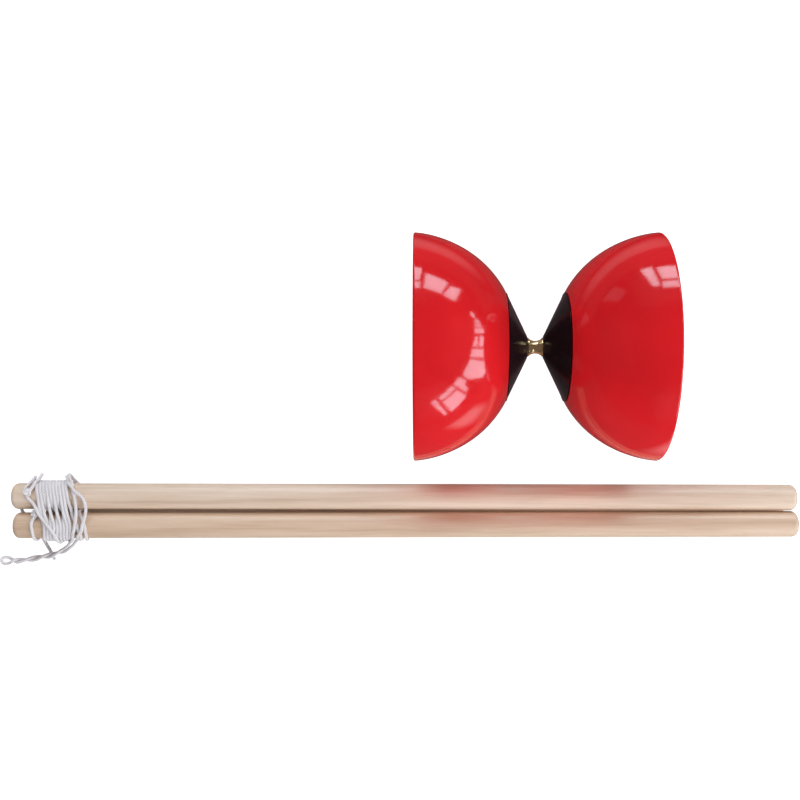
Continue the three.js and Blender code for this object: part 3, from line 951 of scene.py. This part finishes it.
WINDOW_DISTANCE = 2500
DAYLIGHT = (0.72, 0.97, 1.08, 1)


def light_emitter(name, colour):
    """A material that only glows."""
    return Paint(name, Base_Color=(0, 0, 0, 1), Roughness=1.0, Specular_IOR_Level=0.0, Emission_Color=colour)


def window_material(name, strength, mottle):
    """Daylight through a window: a glow that trees and clouds make uneven."""
    paint = light_emitter(name, DAYLIGHT)
    cloud = paint.noise(paint.place(), 9, 4, 0.6)
    return paint.use(Emission_Strength=paint.spread(cloud, strength * (1 - mottle), strength * (1 + mottle)))


def direction(azimuth, elevation):
    """A unit vector. Azimuth 0 is +Y and 90 is +X."""
    a, e = math.radians(azimuth), math.radians(elevation)
    return np.array([math.sin(a) * math.cos(e), math.cos(a) * math.cos(e), math.sin(e)])


def pane(name, corners, material):
    """A glowing pane whose corners lie in these directions from the spool. Only polished pieces mirror it."""
    centre = np.array(SPOOL) / MM
    points = [centre + WINDOW_DISTANCE * direction(a, e) for a, e in corners]
    made = mesh_object(name, points, [list(range(len(points)))])
    made.data.materials.append(material)
    seen_by(made, glossy=True)


# azimuth and elevation of each pane's corners, in degrees
REAR_WINDOW = [
    [(-17, 4), (-10, 5), (-11, 30), (-17, 28)],
    [(-7, 8), (11, 9), (11, 24), (-7, 23)],
    [(-8, 26), (12, 26), (13, 33), (-9, 33)],
    [(15, 14), (33, 12), (34, 28), (17, 31)],
    [(36, 14), (43, 9), (47, 24), (36, 28)],
]
RIGHT_WINDOW = [
    [(60.6, 16.3), (63.3, 13.0), (67.4, 13.7), (64.8, 17.4)],
    [(68.0, 14.8), (69.3, 10.1), (72.1, 9.6), (70.7, 16.2)],
    [(71.9, 16.8), (72.9, 9.3), (75.0, 8.2), (73.8, 17.6)],
    [(75.0, 18.0), (76.1, 8.0), (80.0, 5.7), (79.2, 19.2)],
    [(82, 19), (82, 16), (91, 17.5), (91, 23)],
    [(82, 14), (82, 6), (90, 6), (90, 15.5)],
    [(93, 23.5), (91.5, 6), (98, 5), (100, 24)],
    [(102, 24), (100.5, 4), (104, -0.5), (112, 1), (119, 17), (118, 26)],
    [(121, 27), (121, 18), (124, 17), (125, 11), (128, 10), (130, 28)],
    [(132, 28), (131, 23), (147, 22), (148, 27)],
    [(132, 21), (130, 7), (146, 4), (147, 20)],
    [(151, 27), (149, 5), (151, 4), (156, 26)],
]
FAR_WINDOW = [(-53, 2), (-38, 3), (-36, 17), (-47, 19)]
bright = window_material("window_bright", 7.6, 0.14)
for i, corners in enumerate(REAR_WINDOW + RIGHT_WINDOW):
    pane(f"window_pane_{i}", corners, bright)
pane("window_far", FAR_WINDOW, window_material("window_faint", 0.5, 0.4))


def area_light(name, where, aim, size, watts, colour):
    """A soft light that no polished piece mirrors."""
    light = bpy.data.lights.new(name, "AREA")
    light.color = colour
    light.shape = "RECTANGLE"
    light.size, light.size_y = size
    light.energy = watts
    made = bpy.data.objects.new(name, light)
    made.location = where
    made.rotation_euler = (Vector(aim) - Vector(where)).to_track_quat("-Z", "Y").to_euler()
    made.visible_camera = False
    made.visible_glossy = False
    bpy.context.scene.collection.objects.link(made)


MIDDLE = (0, 0, 0)
WIDE = (1.6, 1.2)
area_light("soft_rear", (-0.1, 1.5, 0.9), MIDDLE, WIDE, 23, (0.93, 1.0, 1.06))
area_light("soft_right", (1.5, 0, 0.9), MIDDLE, WIDE, 12, (1.05, 1.0, 0.97))
area_light("soft_front", (0.20, -0.50, 0.30), (0.07, 0, 0), (0.5, 0.4), 2.8, (0.95, 1.0, 1.06))
area_light("soft_left", (-1.5, 0, 0.9), MIDDLE, WIDE, 6, (0.97, 1.0, 1.04))

# the red that the cups throw on the sticks
for name, x in (("red_bounce_left", 0.0205), ("red_bounce_right", 0.0710)):
    area_light(name, (x, -0.029, 0.034), (x, -0.043, 0.010), (0.024, 0.008), 0.0011, (1, 0.12, 0.09))

CARD_HEIGHT = 0.2
CARD_FADE = 0.7  # the share of the way from its edge to its middle over which a card fades in


def soft_card(name, start, end, near, far, strength):
    """A pale patch on the surface, between two azimuths and two distances from the spool, which fades out
    at its edges. Only polished pieces mirror it."""
    rows, cols = 6, 24
    spool_x, spool_y, _ = SPOOL / MM
    points = []
    for i in range(rows + 1):
        distance = near + (far - near) * i / rows
        for k in range(cols + 1):
            x, y, _ = distance * direction(start + (end - start) * k / cols, 0)
            points.append((spool_x + x, spool_y + y, CARD_HEIGHT))
    faces = []
    uvs = []
    for i in range(rows):
        for k in range(cols):
            corners = [(i, k), (i, k + 1), (i + 1, k + 1), (i + 1, k)]
            faces.append([r * (cols + 1) + c for r, c in corners])
            uvs += [(c / cols, r / rows) for r, c in corners]
    made = mesh_object(name, points, faces, uvs)
    paint = light_emitter(name + "_glow", WHITE)
    parts = paint.node("SeparateXYZ", {0: paint.node("TexCoord")["UV"]})
    glow = strength
    for part in (parts[0], parts[1]):
        across = paint.math("SUBTRACT", paint.math("MULTIPLY", part, 2.0), 1.0)
        edge = paint.math("SUBTRACT", 1.0, paint.math("ABSOLUTE", across))
        keys = {"Value": edge, "From Min": 0.0, "From Max": CARD_FADE, "To Min": 0.0, "To Max": 1.0}
        fade = paint.node("MapRange", keys, interpolation_type="SMOOTHSTEP")[0]
        glow = paint.math("MULTIPLY", fade, glow)
    made.data.materials.append(paint.use(Emission_Strength=glow))
    seen_by(made, glossy=True)


soft_card("pale_rear", -60, 45, 90, 230, 0.5)
soft_card("pale_front", 131, 166, 75, 400, 1.9)
